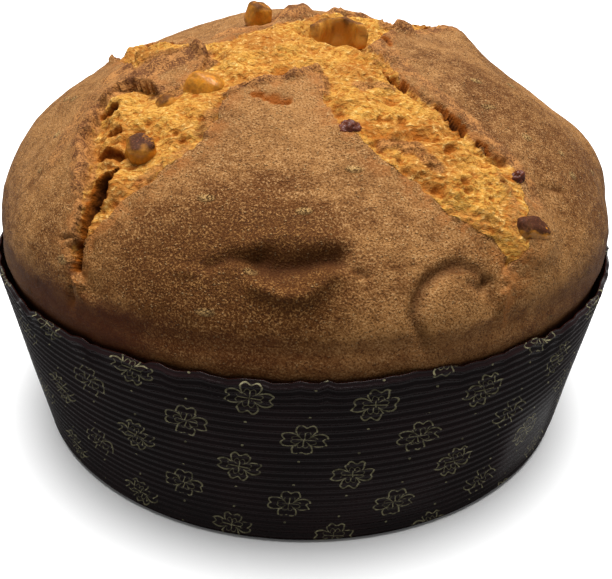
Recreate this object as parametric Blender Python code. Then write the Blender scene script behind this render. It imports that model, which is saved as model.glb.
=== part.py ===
"""Panettone: one baked loaf in a ribbed paper mould, with candied peel and raisins in its open top.

Metres, +Z up. The origin is the centre of the mould's underside, and -Y is the loaf's front.
"""
import bpy
import bmesh
import numpy as np
from mathutils import Euler, Matrix, Vector

MM = 0.001

# Paper mould
RIM_RADIUS = 110.0 * MM
BASE_RADIUS = 100.8 * MM
WALL_HEIGHT = 65.8 * MM
RIB_COUNT = 24
RIB_DEPTH = 0.8 * MM
PAPER = 1.0 * MM
FOLD_RADIUS = 86.0 * MM
FOLD_THICKNESS = 0.9 * MM
DISC_RADIUS = 97.0 * MM
DISC_THICKNESS = 0.9 * MM
WALL_STEPS = 40

# Fit between neighbouring pieces
GAP = 0.3 * MM

# Loaf
LOAF_RADIUS = 107.4 * MM
EQUATOR_HEIGHT = 76.0 * MM
CROWN_HEIGHT = 133.5 * MM
CROWN_TILT = 0.12
CROWN_POWERS = (2.15, 1.75)
CROWN_TILT_REACH = (-80.0, 60.0)
EDGE_FADE = 0.06
NECK_HEIGHT = 66.5 * MM
NECK_DROP = 9.0 * MM
CORNER = 3.0 * MM
NECK_RADIUS = 106.2 * MM
LOAF_SECTORS = 56
CROWN_RINGS = 17

# The cross cut: middle lines of its four arms in plan, and the width and depth of each opening
CUT_CENTRE = (-2.0, -30.0)
CUT_ARMS = (
    ((-30.0, -45.0), (-52.0, -60.0), (-60.0, -78.0), (-62.0, -85.0)),
    ((25.0, -48.0), (45.0, -66.0), (60.0, -78.0)),
    ((-30.0, -8.0), (-58.0, 18.0), (-76.0, 44.0)),
    ((26.0, -16.0), (50.0, 14.0), (68.0, 44.0)),
)
CUT_WIDTHS = (13.0, 14.0, 10.0, 10.0)
CUT_DEPTHS = (5.0, 5.0, 4.0, 4.0)
ARM_FADE = 0.55
FLAP_LIFT = 2.4
FLAP_OFFSET = 1.7
FLAP_SPREAD = 0.8

# Dent across the front of the crust: place on the crown, half sizes and depth
DENT = (-4.0, -98.0, 26.0, 5.0, 2.6)

# Where the crown rises or sinks from an even dome: place, spread and height
SWELLS = (
    (-52.0, 22.0, 24.0, -4.0),
    (32.0, 22.0, 15.0, -2.0),
    (58.0, 26.0, 9.0, 2.0),
    (77.0, 8.0, 15.0, -4.0),
    (101.0, 14.0, 12.0, 6.5),
)

# Fruit: name, centre in mm (x, y, height above the crust), size in mm, turn in degrees
PEEL_CUBES = (
    ("candied_orange_1", (-17.0, 12.0, 0.4), (8.0, 8.0, 9.4), (8.0, 12.0, 25.0)),
    ("candied_orange_2", (-30.0, -38.0, -0.6), (14.0, 9.0, 8.5), (-12.0, 14.0, -20.0)),
    ("candied_orange_3", (-41.0, -42.0, 0.2), (8.5, 6.5, 7.0), (10.0, 20.0, 35.0)),
    ("candied_orange_4", (-46.0, -61.0, 2.2), (9.0, 8.5, 9.5), (24.0, -8.0, 24.0)),
    ("candied_orange_6", (62.0, -76.0, 1.3), (14.0, 7.0, 9.5), (38.0, 14.0, 42.0)),
    ("candied_orange_7", (-76.0, 58.0, 1.4), (9.5, 8.0, 7.5), (-10.0, -22.0, 50.0)),
)
PEEL_CURL = ("candied_orange_5", (10.0, -8.0, -1.4), (7.6, 3.6, 9.5), (-14.0, 0.0, -12.0))
CURL_ARC = 200.0
RAISINS = (
    ("raisin_1", (59.5, -63.5, 0.6), (6.0, 5.0, 9.0), (30.0, 20.0, 30.0)),
    ("raisin_2", (13.0, -61.0, -0.2), (8.5, 6.5, 5.5), (30.0, 0.0, 15.0)),
    ("raisin_3", (60.0, 46.0, 1.8), (10.0, 7.5, 6.5), (-20.0, 14.0, 60.0)),
    ("raisin_4", (72.0, 64.0, 0.4), (9.0, 7.0, 6.0), (-24.0, -20.0, 10.0)),
)
PEEL_BEVEL = 1.3 * MM
PEEL_TOP = 0.88
CURL_STEPS = 9

MATERIALS = {
    "crust": ((0.245, 0.125, 0.050), 0.62),
    "paper": ((0.014, 0.009, 0.008), 0.48),
    "candied_peel": ((0.520, 0.190, 0.030), 0.25),
    "raisin": ((0.055, 0.016, 0.010), 0.40),
}


def clear_scene():
    for item in list(bpy.context.scene.objects):
        bpy.data.objects.remove(item, do_unlink=True)


def make_material(name):
    colour, roughness = MATERIALS[name]
    material = bpy.data.materials.new(name)
    material.use_nodes = True
    shader = material.node_tree.nodes["Principled BSDF"]
    shader.inputs["Base Color"].default_value = (*colour, 1.0)
    shader.inputs["Roughness"].default_value = roughness
    shader.inputs["Metallic"].default_value = 0.0
    material.diffuse_color = (*colour, 1.0)
    return material


def finish_mesh(bm, name, material, smooth_angle=0.7):
    """Turn a bmesh into a named object with outward faces and smooth shading."""
    bmesh.ops.recalc_face_normals(bm, faces=bm.faces)
    mesh = bpy.data.meshes.new(name)
    bm.to_mesh(mesh)
    bm.free()
    mesh.shade_smooth()
    mesh.set_sharp_from_angle(angle=smooth_angle)
    mesh.materials.append(material)
    piece = bpy.data.objects.new(name, mesh)
    bpy.context.scene.collection.objects.link(piece)
    return piece


def spin_profile(points, steps):
    """A closed ring or solid turned about Z from (radius, height) points."""
    bm = bmesh.new()
    verts = [bm.verts.new((radius, 0.0, height)) for radius, height in points]
    edges = [bm.edges.new((a, b)) for a, b in zip(verts, verts[1:])]
    closed = points[0][0] > 0.0
    if closed:
        edges.append(bm.edges.new((verts[-1], verts[0])))
    bmesh.ops.spin(
        bm, geom=verts + edges, cent=(0.0, 0.0, 0.0), axis=(0.0, 0.0, 1.0),
        angle=2.0 * np.pi, steps=steps, use_merge=True,
    )
    bmesh.ops.remove_doubles(bm, verts=bm.verts, dist=1e-6)
    return bm


def wall_radius(height):
    """Outer radius of the mould's wall over its rib crests."""
    return BASE_RADIUS + (RIM_RADIUS - BASE_RADIUS) * height / WALL_HEIGHT


def inner_radius(height):
    return wall_radius(height) - RIB_DEPTH - PAPER


def make_paper_wall(material):
    """Ribbed wall with the edge that is folded in under the base disc."""
    points = [(FOLD_RADIUS, 0.0)]
    pitch = (WALL_HEIGHT - FOLD_THICKNESS) / RIB_COUNT
    for rib in range(RIB_COUNT):
        valley = FOLD_THICKNESS + rib * pitch
        crest = valley + 0.5 * pitch
        if rib == 0:
            points.append((wall_radius(0.0) - RIB_DEPTH, 0.0))
        else:
            points.append((wall_radius(valley) - RIB_DEPTH, valley))
        points.append((wall_radius(crest), crest))
    points.append((RIM_RADIUS, WALL_HEIGHT))
    points.append((inner_radius(WALL_HEIGHT), WALL_HEIGHT))
    points.append((inner_radius(FOLD_THICKNESS), FOLD_THICKNESS))
    points.append((FOLD_RADIUS, FOLD_THICKNESS))
    bm = spin_profile(points, WALL_STEPS)
    return finish_mesh(bm, "paper_wall", material)


def make_paper_base(material):
    """Flat disc that lies on the folded edge of the wall."""
    low = FOLD_THICKNESS + GAP
    bm = bmesh.new()
    bmesh.ops.create_circle(
        bm, cap_ends=True, radius=DISC_RADIUS, segments=WALL_STEPS,
        matrix=Matrix.Translation((0.0, 0.0, low)),
    )
    grown = bmesh.ops.extrude_face_region(bm, geom=bm.faces[:])
    raised = [item for item in grown["geom"] if isinstance(item, bmesh.types.BMVert)]
    bmesh.ops.translate(bm, verts=raised, vec=(0.0, 0.0, DISC_THICKNESS))
    return finish_mesh(bm, "paper_base", material)


def distance_to_arm(x, y, arm):
    """Plan distance in mm from (x, y) to an arm's middle line, and how far along the arm it lies."""
    points = [CUT_CENTRE, *arm]
    lengths = [np.hypot(b[0] - a[0], b[1] - a[1]) for a, b in zip(points, points[1:])]
    best, along, walked = 1e9, 0.0, 0.0
    for (ax, ay), (bx, by), length in zip(points, points[1:], lengths):
        share = np.clip(((x - ax) * (bx - ax) + (y - ay) * (by - ay)) / length ** 2, 0.0, 1.0)
        gap = np.hypot(x - ax - share * (bx - ax), y - ay - share * (by - ay))
        if gap < best:
            best, along = gap, walked + share * length
        walked += length
    return best, along / walked


def cut_relief(x, y):
    """Height in mm that the open cross cut and its lifted flaps add to the crown."""
    opening = 0.0
    lift = 0.0
    for arm, width, depth in zip(CUT_ARMS, CUT_WIDTHS, CUT_DEPTHS):
        gap, along = distance_to_arm(x, y, arm)
        fade = 1.0 - ARM_FADE * along
        opening = max(opening, depth * fade * np.exp(-(gap / width) ** 2))
        lift = max(lift, fade * np.exp(-((gap - FLAP_OFFSET * width) / (FLAP_SPREAD * width)) ** 2))
    return FLAP_LIFT * lift - opening


def dent_relief(x, y):
    """Shallow dent across the front of the crust, with a soft lip under it."""
    place_x, place_y, half_x, half_y, depth = DENT
    across = np.exp(-((x - place_x) / half_x) ** 2)
    dent = np.exp(-((y - place_y) / half_y) ** 2)
    return -depth * across * dent


def swell_relief(x, y):
    """Broad rises and hollows of the crown."""
    return sum(
        height * np.exp(-((x - place_x) ** 2 + (y - place_y) ** 2) / spread ** 2)
        for place_x, place_y, spread, height in SWELLS
    )


def crown_height(x, y):
    """Height of the baked top over the point (x, y), all in mm."""
    first, second = CROWN_POWERS
    equator = EQUATOR_HEIGHT / MM
    reach = min(np.hypot(x, y) * MM / LOAF_RADIUS, 1.0)
    top = CROWN_HEIGHT / MM + CROWN_TILT * np.clip(y, *CROWN_TILT_REACH)
    dome = equator + (top - equator) * (1.0 - reach ** first) ** (1.0 / second)
    inside = np.clip((1.0 - reach) / EDGE_FADE, 0.0, 1.0)
    return dome + inside * (cut_relief(x, y) + dent_relief(x, y) + swell_relief(x, y))


def make_loaf(material):
    """The whole loaf as one solid: straight in the mould, a slight neck at the rim, then the crown."""
    bottom = FOLD_THICKNESS + GAP + DISC_THICKNESS + GAP
    profile = [(0.0, bottom), (inner_radius(bottom) - CORNER, bottom)]
    for height in (bottom + CORNER, 0.5 * WALL_HEIGHT, WALL_HEIGHT - NECK_DROP):
        profile.append((inner_radius(height) - 2.0 * GAP, height))
    profile.append((NECK_RADIUS, NECK_HEIGHT))
    for ring in range(CROWN_RINGS):
        angle = 0.5 * np.pi * ring / CROWN_RINGS
        profile.append((LOAF_RADIUS * np.cos(angle), EQUATOR_HEIGHT + ring * MM))
    profile.append((0.0, CROWN_HEIGHT))
    bm = spin_profile(profile, LOAF_SECTORS)
    for vert in bm.verts:
        if vert.co.z > EQUATOR_HEIGHT + 0.5 * MM:
            vert.co.z = crown_height(vert.co.x / MM, vert.co.y / MM) * MM
    return finish_mesh(bm, "loaf", material, smooth_angle=1.2)


def fruit_matrix(centre, turn):
    """Where a piece of fruit sits, from its plan place, height over the crust and turn."""
    x, y, lift = centre
    place = Vector((x * MM, y * MM, (crown_height(x, y) + lift) * MM))
    spin = Euler([np.radians(angle) for angle in turn])
    return Matrix.Translation(place) @ spin.to_matrix().to_4x4()


def add_cube(bm, size, grow):
    """Cube of candied peel with soft edges, slightly narrowed at the top."""
    made = bmesh.ops.create_cube(bm, size=1.0)
    for vert in made["verts"]:
        narrow = PEEL_TOP if vert.co.z > 0.0 else 1.0
        vert.co.x *= narrow * (size[0] * MM + 2.0 * grow)
        vert.co.y *= narrow * (size[1] * MM + 2.0 * grow)
        vert.co.z *= size[2] * MM + 2.0 * grow
    bmesh.ops.bevel(
        bm, geom=bm.edges[:], offset=PEEL_BEVEL, segments=1, profile=0.5,
        affect="EDGES", material=-1,
    )


def add_curl(bm, size, grow):
    """Strip of peel that stands up and curls round."""
    radius, thickness, height = (value * MM for value in size)
    half = 0.5 * thickness + grow
    rise = 0.5 * height + grow
    corners = [(radius - half, -rise), (radius + half, -rise), (radius + half, rise), (radius - half, rise)]
    face = bm.faces.new([bm.verts.new((across, 0.0, up)) for across, up in corners])
    bmesh.ops.spin(
        bm, geom=[face, *face.verts, *face.edges], cent=(0.0, 0.0, 0.0), axis=(0.0, 0.0, 1.0),
        angle=np.radians(CURL_ARC), steps=CURL_STEPS, use_duplicate=False,
    )
    close_open_ends(bm)


def close_open_ends(bm):
    """Fill whatever end of a spun strip is still open."""
    rims = [edge for edge in bm.edges if len(edge.link_faces) == 1]
    if rims:
        bmesh.ops.holes_fill(bm, edges=rims, sides=0)


def add_raisin(bm, size, grow):
    """Small plump oval."""
    bmesh.ops.create_icosphere(bm, subdivisions=2, radius=0.5)
    scale = [value * MM + 2.0 * grow for value in size]
    bmesh.ops.scale(bm, vec=scale, verts=bm.verts)


def make_fruit(entry, add_shape, material):
    """One piece of fruit, and the slightly larger cutter for its pocket in the loaf."""
    name, centre, size, turn = entry
    matrix = fruit_matrix(centre, turn)
    bm = bmesh.new()
    add_shape(bm, size, 0.0)
    bmesh.ops.transform(bm, matrix=matrix, verts=bm.verts)
    finish_mesh(bm, name, material)
    bm = bmesh.new()
    add_shape(bm, size, GAP)
    bmesh.ops.transform(bm, matrix=matrix, verts=bm.verts)
    cutter = finish_mesh(bm, name + "_pocket", material)
    cutter.hide_render = True
    cutter.display_type = "WIRE"
    return cutter


def cut_pockets(loaf, cutters):
    """Pocket in the loaf round each piece of fruit."""
    for cutter in cutters:
        pocket = loaf.modifiers.new(cutter.name, "BOOLEAN")
        pocket.operation = "DIFFERENCE"
        pocket.solver = "EXACT"
        pocket.object = cutter


def main():
    clear_scene()
    materials = {name: make_material(name) for name in MATERIALS}
    make_paper_wall(materials["paper"])
    make_paper_base(materials["paper"])
    loaf = make_loaf(materials["crust"])
    cutters = [make_fruit(entry, add_cube, materials["candied_peel"]) for entry in PEEL_CUBES]
    cutters.append(make_fruit(PEEL_CURL, add_curl, materials["candied_peel"]))
    cutters += [make_fruit(entry, add_raisin, materials["raisin"]) for entry in RAISINS]
    cut_pockets(loaf, cutters)


main()
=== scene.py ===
"""Panettone on a pale table: a low domed loaf with a torn cross cut, candied peel and raisins,
standing in a ribbed and printed paper mould."""

import bmesh
import bpy
import numpy as np
from mathutils import Matrix, Vector


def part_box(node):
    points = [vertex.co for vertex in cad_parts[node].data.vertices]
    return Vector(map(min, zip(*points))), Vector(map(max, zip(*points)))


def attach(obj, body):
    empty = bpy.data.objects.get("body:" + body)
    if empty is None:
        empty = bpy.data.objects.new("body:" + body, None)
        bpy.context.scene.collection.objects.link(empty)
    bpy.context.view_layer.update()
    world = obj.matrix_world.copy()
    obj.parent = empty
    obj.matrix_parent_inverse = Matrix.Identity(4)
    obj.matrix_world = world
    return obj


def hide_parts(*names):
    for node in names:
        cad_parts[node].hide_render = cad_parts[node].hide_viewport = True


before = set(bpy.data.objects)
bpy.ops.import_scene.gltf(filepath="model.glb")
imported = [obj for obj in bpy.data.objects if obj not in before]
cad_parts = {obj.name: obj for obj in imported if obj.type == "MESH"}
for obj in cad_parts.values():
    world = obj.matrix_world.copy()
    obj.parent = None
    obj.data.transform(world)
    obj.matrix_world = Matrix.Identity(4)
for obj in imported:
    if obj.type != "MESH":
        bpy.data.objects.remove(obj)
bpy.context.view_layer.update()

bl_info = {
    "name": "Panettone",
    "version": (1, 0, 0),
    "blender": (4, 5, 0),
    "location": "3D View > Sidebar > Panettone",
    "description": "Builds a panettone in its paper mould",
    "category": "Add Mesh",
}

MM = 0.001
norm = np.linalg.norm
WALL_LOW, WALL_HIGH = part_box("paper_wall")
DISC_LOW, DISC_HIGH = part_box("paper_base")
LOAF_LOW, LOAF_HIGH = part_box("loaf")
RIM_RADIUS = WALL_HIGH.x / MM
RIM_HEIGHT = WALL_HIGH.z / MM
PEEL_NODES = sorted(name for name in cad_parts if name.startswith("candied_orange"))
RAISIN_NODES = sorted(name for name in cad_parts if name.startswith("raisin"))

# Torn edges of the four crust flaps, in plan, in mm from the loaf's middle
FRONT_FLAP = (
    (-68, -98), (-63.4, -87), (-61.7, -84.5), (-59.6, -82), (-57.8, -80.8), (-55, -79), (-51, -76.8),
    (-46.4, -74.7), (-40.8, -73), (-35.5, -69.5), (-30, -65),
    (-25, -56), (-24, -50), (-20, -45), (-13, -41), (-4, -37), (2, -34), (5, -38), (5, -50), (8, -57),
    (15, -65), (22, -71), (29, -75), (35, -79), (40, -81.5), (46, -81.5), (51, -83.5), (55, -85.5),
    (60, -90), (66, -100), (40, -150), (-60, -150),
)
LEFT_FLAP = (
    (-58, -100), (-61.0, -87), (-62.2, -84), (-62.6, -80), (-61.8, -76), (-61.2, -70), (-61.2, -66),
    (-61.8, -60), (-63.5, -54), (-65, -47), (-65, -41), (-63, -35), (-58, -29), (-53, -29), (-48, -33),
    (-44, -39), (-39, -38), (-33, -30), (-30, -24), (-34, -19), (-40, -21), (-47, -22), (-54, -20),
    (-61, -8), (-68, 10), (-74, 30), (-79, 47), (-90, 76), (-150, 90), (-160, -60),
)
RIGHT_FLAP = (
    (150, 90), (92, 92), (74, 63), (62, 46), (50, 32), (39, 20), (31, 8), (26, -5), (20, -13), (24, -22),
    (26, -30), (29, -37), (35, -41), (40, -45), (43, -49), (47, -53), (52, -57), (57, -58.5), (60, -63),
    (60.5, -70), (60, -78), (57.5, -84), (54, -89), (50, -100), (160, -100),
)
BACK_FLAP = (
    (-120, 60), (-86, 54), (-72, 42), (-60, 28), (-50, 14), (-42, 2), (-37, -6), (-31, -9), (-25, -7),
    (-20, -1), (-10, 3), (-2, 9), (6, 14), (16, 18), (25, 24), (36, 36), (49, 49), (64, 59),
    (80, 65), (120, 70), (90, 140), (-120, 140),
)
FLAPS = (FRONT_FLAP, LEFT_FLAP, RIGHT_FLAP, BACK_FLAP)
# How high each flap's torn edge lifts, and how far in from the edge the lift fades, in mm
FLAP_LIFTS = (0.5, 1.7, 1.2, 0.8)
FLAP_REACHES = (7.0, 9.0, 12.0, 12.0)
# How far the crumb lies under each flap's torn edge, in mm
FLAP_DROPS = (0.2, 2.2, 1.1, 1.2)

# Broad rises and hollows of the crown: x, y, spread and height in mm
SWELLS = (
    (-52, 20, 24, -4.6), (-25, 18, 15, -1.2), (32, 22, 15, -2.4), (54, 30, 10, 2.6), (72, 30, 10, -1.8),
    (77, 8, 15, -4.2), (107, 4, 15, 4.0), (-96, -40, 22, -1.4),
    (82, 22, 12, -1.0), (104, -22, 14, -0.4), (28, 44, 18, -3.4), (8, 58, 16, -1.0), (-44, 24, 13, -1.2),
)

# Deep openings in the torn top: (x, y, half width) along each one in mm, and its depth
CAVES = (
    (((-53, -66, 1.2), (-56, -69, 3.2), (-58, -73, 2.4), (-60, -77, 1.2), (-61.4, -80.5, 0.8),
      (-62.1, -85, 0.55)), 9.0),
    (((23, -32, 0.4), (26, -35, 0.9), (30, -38, 0.8)), 3.5),
    (((39, -45, 0.5), (42, -48, 0.9), (46, -52, 0.7)), 4.0),
    (((49.5, -55.5, 0.8), (52.5, -57.5, 0.6)), 4.5),
    (((-62, 34, 0.8), (-56, 26, 1.6), (-50, 19, 0.9)), 4.5),
    (((-74, 44, 0.6), (-69, 38, 1.2), (-66, 33, 0.6)), 3.5),
    (((40, 29, 0.7), (45, 33, 1.5), (51, 40, 0.8)), 4.5),
    (((20, -8, 0.8), (24, -10, 1.5), (27, -12, 0.8)), 4.5),
    (((-61.5, -39, 1.2), (-57, -41, 1.5)), 4.5),
    (((-60, -56, 1.2), (-56, -58, 1.5), (-52, -61, 1.0)), 3.0),
    (((-15, -46, 1.0), (-11, -48, 1.3), (-5, -50, 1.2)), 2.4),
    (((-58, -50, 1.0), (-54, -51, 0.8)), 2.6),
)
# Ridges and lumps of the torn top: (x, y) along each one in mm, half width, height and toasting
RIDGES = (
    (((-63.0, -66), (-64, -60), (-66, -53), (-66.5, -44), (-64, -36), (-59, -31)), 2.0, 1.2, 0.80),
    (((-57, -27), (-50, -25), (-42, -23), (-35, -19.5)), 4.5, 1.6, 0.95),
    (((-62, -16), (-54, -15), (-46, -16), (-39, -18)), 5.0, 0.5, 0.8),
    (((-74, -50), (-71, -36), (-66, -24)), 3.5, 0.3, 0.55),
    (((26, -19), (33, -31), (41, -40), (50, -49), (60, -58), (65, -66)), 2.6, 0.5, 0.6),
    (((28, -4), (24, -12), (22, -18)), 2.2, 1.0, 0.8),
    (((-30, -2), (-22, 3), (-12, 8), (-2, 13)), 2.2, 1.4, 0.8),
    (((8, 18), (18, 22), (28, 28)), 2.0, 1.6, 0.8),
    (((-85, 50), (-74, 36), (-66, 22)), 2.4, 1.2, 0.7),
    (((-70, 47), (-60, 34), (-50, 20), (-42, 8)), 2.0, 1.0, 0.7),
    (((70, 50), (58, 36), (46, 22), (36, 10)), 2.4, 1.0, 0.8),
    (((56, 50), (46, 42), (34, 31)), 2.0, 1.2, 0.7),
    (((-33, -20), (-30, -24), (-29, -28)), 1.8, 2.6, 1.0),
    (((-46, -36), (-42, -40), (-38, -40)), 2.2, 1.4, 0.9),
    (((-23, -45), (-17, -42), (-12, -40.5), (-6, -39), (-1, -36), (2, -33.5)), 1.5, 2.0, 0.95),
    (((3, -34), (5, -39), (6, -46)), 1.3, 0.8, 0.8),
    (((-29, -60), (-27, -55), (-25, -50)), 2.2, 0.5, 0.7),
    (((18, -65), (23, -62), (29, -59)), 0.9, 1.5, 0.25),
    (((22, -64.5), (30, -63.5), (33, -67), (37, -69)), 1.7, 0.6, 0.75),
    (((15, -42), (19, -40), (25, -41)), 1.7, 0.3, 0.7),
    (((18, -24), (24, -22), (30, -17)), 1.0, 1.3, 0.4),
    (((21, -29), (27, -25), (34, -22)), 1.1, 1.2, 0.55),
    (((26, 4), (31, 5), (34, 6)), 2.0, 3.0, 0.9),
    (((40, -47), (45, -51)), 1.0, 0.6, 0.6),
    (((-60, 2), (-54, -2), (-47, -6)), 1.5, 2.0, 0.3),
    (((-66, 16), (-60, 20), (-57, 26)), 1.4, 1.8, 0.3),
    (((-11, 14), (-6, 17), (-1, 17)), 2.8, 3.0, 0.95),
    (((-70, 12), (-68, 15)), 1.3, 2.4, 0.4),
    (((-52, 12), (-51, 15)), 1.2, 2.6, 0.3),
    (((-44, 17), (-42, 19)), 1.4, 2.2, 0.5),
    (((-44, -72), (-39, -69.5), (-33, -65)), 2.0, 0.5, 0.45),
    (((-20, 10), (-12, 9), (-4, 12)), 3.0, 1.0, 0.7),
    (((54, -66), (57, -72), (56, -78)), 1.4, 0.8, 0.5),
)
# Shallow marks in the crust: points in plan, half width and height in mm
CRUST_MARKS = (
    (((-11, -97.3), (-6, -98.8), (1, -97.8), (8, -97)), 3.3, -3.2),
    (((-24, -96.5), (-18, -95.8), (-12, -96.2)), 1.6, -1.3),
    (((-17, -93.5), (-4, -92), (8, -93.5)), 2.6, 0.8),
    (((-11, -101.3), (-5, -103.6), (1, -103.2), (7, -100)), 2.5, 2.3),
    (((13, -98.5), (16.5, -99)), 0.8, -1.0),
    (((-28, -97.5), (-32, -96)), 1.2, 0.7),
    (((-61, -79), (-62.4, -84), (-63, -87)), 1.2, -1.6),
    (((-66, -77.5), (-61, -79.5)), 0.6, -1.0),
    (((69, -60), (77, -55.5)), 0.8, -1.2),
    (((50, -27), (52, -32), (55, -37)), 1.1, -1.1),
    (((46, -28), (48, -33), (51, -38)), 2.2, 0.9),
    (((44, -93.5), (48, -93), (50, -91)), 1.6, -1.7),
    (((-76, -76), (-77, -82), (-76, -88)), 1.2, -0.5),
)
# Round blister of the crust: x, y and radius in mm
BLISTER_PLACE = (41, -98.5, 12.5)
# Where the crust is painted darker, or paler when the strength is below 0: partly baking tone, partly
# painted shade (lower front, dent) and painted light (upper front); (x, y) on the crown, spread in mm
# and strength
BAKING_LIGHT_AND_SHADE = (
    (-14, -96, 26, 0.92), (-45, -88, 20, 0.40), (10, -104, 22, 0.10), (-2, -96, 12, 1.0),
    (30, -78, 16, -0.2), (-4, -62, 24, -0.75), (62, -18, 22, 0.4), (84, -40, 24, 0.2),
    (-72, -8, 24, 0.3), (28, -104, 12, -0.3),
)
# Where egg-yellow shows faintly through the skin below each end of the tear
STREAKS = (((55, -84), (55.5, -88), (54.5, -93)), ((-62, -82), (-62.5, -90)))


def length_setting(name, description, default):
    """A setting in metres."""
    return bpy.props.FloatProperty(
        name=name, description=description, default=default, subtype="DISTANCE", unit="LENGTH")


def colour_setting(name, description, default):
    """A colour setting."""
    return bpy.props.FloatVectorProperty(
        name=name, description=description, default=default, size=3, subtype="COLOR",
        min=0.0, max=1.0)


class LoafSettings(bpy.types.PropertyGroup):
    """Sizes and colours of the baked loaf."""
    radius: length_setting("Radius", "Widest radius of the crown, above the paper", LOAF_HIGH.x)
    equator: length_setting("Widest height", "Height at which the crown is widest", 0.076)
    crown: length_setting("Crown height", "Height of the crown over the middle", 0.1335)
    tilt: bpy.props.FloatProperty(
        name="Crown tilt", description="How much the crown rises towards the back",
        default=0.12)
    crust_light: colour_setting("Light crust", "Pale tan of the dry crust", (0.330, 0.152, 0.046))
    crust_dark: colour_setting("Dark crust", "Brown of the well-baked crust", (0.130, 0.045, 0.009))
    toast: colour_setting("Toasted edge", "Dark red-brown of the ridges", (0.130, 0.045, 0.015))
    crumb: colour_setting("Crumb", "Egg-yellow of the open crumb", (0.56, 0.280, 0.052))
    # Deep crumb is also laid over the crumb's hollows as painted shade.
    crumb_deep: colour_setting("Deep crumb", "Orange in the pits of the crumb", (0.33, 0.090, 0.009))


class PaperSettings(bpy.types.PropertyGroup):
    """Sizes and colours of the paper mould."""
    ribs: bpy.props.IntProperty(
        name="Ribs", description="Ribs from the base to the rim", default=24, min=1)
    rib_depth: length_setting("Rib depth", "Height of a rib from valley to crest", 0.0011)
    thickness: length_setting("Paper thickness", "Thickness of the paper at the rim", 0.0005)
    colour: colour_setting("Paper", "Near-black brown of the paper", (0.0080, 0.0026, 0.0028))
    print_colour: colour_setting("Print", "Olive gold of the printed flowers", (0.27, 0.245, 0.135))
    inside: colour_setting("Inside", "Greasy maroon of the paper's inner face", (0.030, 0.006, 0.003))
    flowers_round: bpy.props.IntProperty(
        name="Flowers round", description="Flowers in one row round the mould", default=20, min=1)


class FruitSettings(bpy.types.PropertyGroup):
    """Colours of the candied peel and the raisins."""
    amber: colour_setting("Amber", "Clear amber of candied orange peel", (0.66, 0.250, 0.016))
    browned: colour_setting("Browned", "Baked brown on top of the peel", (0.052, 0.014, 0.004))
    raisin: colour_setting("Raisin", "Dark red-brown of the raisins", (0.068, 0.015, 0.006))


class StageSettings(bpy.types.PropertyGroup):
    """Table, light and camera."""
    floor_size: length_setting("Table size", "Side of the pale table top", 6.0)
    focal_length: bpy.props.FloatProperty(
        name="Focal length", description="Camera lens in mm on a 36 mm sensor", default=46.4)
    key_power: bpy.props.FloatProperty(
        name="Key light", description="Power of the large soft light overhead", default=128.0,
        unit="POWER")
    room_light: bpy.props.FloatProperty(
        name="Room light", description="Even light from all round", default=0.24, min=0.0)


# ---------------------------------------------------------------- noise and plan measures

NOISE_CELLS = 48
CORNERS = [(a, b, c) for a in (0, 1) for b in (0, 1) for c in (0, 1)]


def soft_noise(points, size, seed):
    """Smooth noise from -1 to 1 whose bumps are about one size across."""
    table = np.random.default_rng(seed).uniform(-1.0, 1.0, (NOISE_CELLS,) * 3)
    place = points / size + 0.37 * NOISE_CELLS
    cell = np.floor(place).astype(int)
    part = place - cell
    ease = part * part * (3.0 - 2.0 * part)
    total = np.zeros(len(points))
    for corner in CORNERS:
        weight = np.prod(np.where(corner, ease, 1.0 - ease), axis=1)
        index = (cell + corner) % NOISE_CELLS
        total += weight * table[index[:, 0], index[:, 1], index[:, 2]]
    return total


def layered_noise(points, size, seed, layers=3, fade=0.5):
    """Several layers of soft noise, each half the size of the last and weaker."""
    total = np.zeros(len(points))
    for layer in range(layers):
        total += fade ** layer * soft_noise(points, size / 2 ** layer, seed + layer)
    return total


def waves(points, *layers):
    """Sum of soft noises, each given by its strength, size and seed."""
    return sum(strength * soft_noise(points, size, seed) for strength, size, seed in layers)


def wander(points, seeds, *layers):
    """Soft shifts in mm, a column per seed; a layer is its strength, size and step in seed."""
    return np.stack([
        waves(points, *((strength, size, seed + step) for strength, size, step in layers))
        for seed in seeds], axis=1)


def bell(value):
    """1 at 0, falling to nothing on both sides."""
    return np.exp(-value ** 2)


def ramp(low, high, value):
    """0 below low, 1 above high, with soft ends."""
    share = np.clip((value - low) / (high - low), 0.0, 1.0)
    return share * share * (3.0 - 2.0 * share)


def flap_depth(plan, outline):
    """Distance in plan to a closed outline, positive inside it."""
    start = np.array(outline, float)
    end = np.roll(start, -1, axis=0)
    span = end - start
    offset = plan[:, None] - start
    share = np.clip((offset * span).sum(2) / (span ** 2).sum(1), 0.0, 1.0)
    gap = norm(offset - share[..., None] * span, axis=2).min(1)
    above = start[:, 1] > plan[:, 1:2]
    crossing = above != (end[:, 1] > plan[:, 1:2])
    rise = np.where(span[:, 1] == 0.0, 1.0, span[:, 1])
    meets = start[:, 0] + offset[..., 1] * span[:, 0] / rise
    inside = (crossing & (plan[:, 0:1] < meets)).sum(1) % 2 == 1
    return np.where(inside, gap, -gap)


def line_distance(points, line):
    """Distance to a chain of points, and how far along the chain it is met."""
    line = np.array(line, float)
    best = np.full(len(points), np.inf)
    along = np.zeros(len(points))
    for index, (start, end) in enumerate(zip(line, line[1:])):
        span = end - start
        share = np.clip((points - start) @ span / (span @ span), 0.0, 1.0)
        gap = norm(points - start - share[:, None] * span, axis=1)
        closer = gap < best
        best[closer] = gap[closer]
        along[closer] = index + share[closer]
    return best, along


# ---------------------------------------------------------------- pieces and meshes

def add_object(name, data):
    """A new object in the scene."""
    made = bpy.data.objects.new(name, data)
    bpy.context.scene.collection.objects.link(made)
    return made


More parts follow.
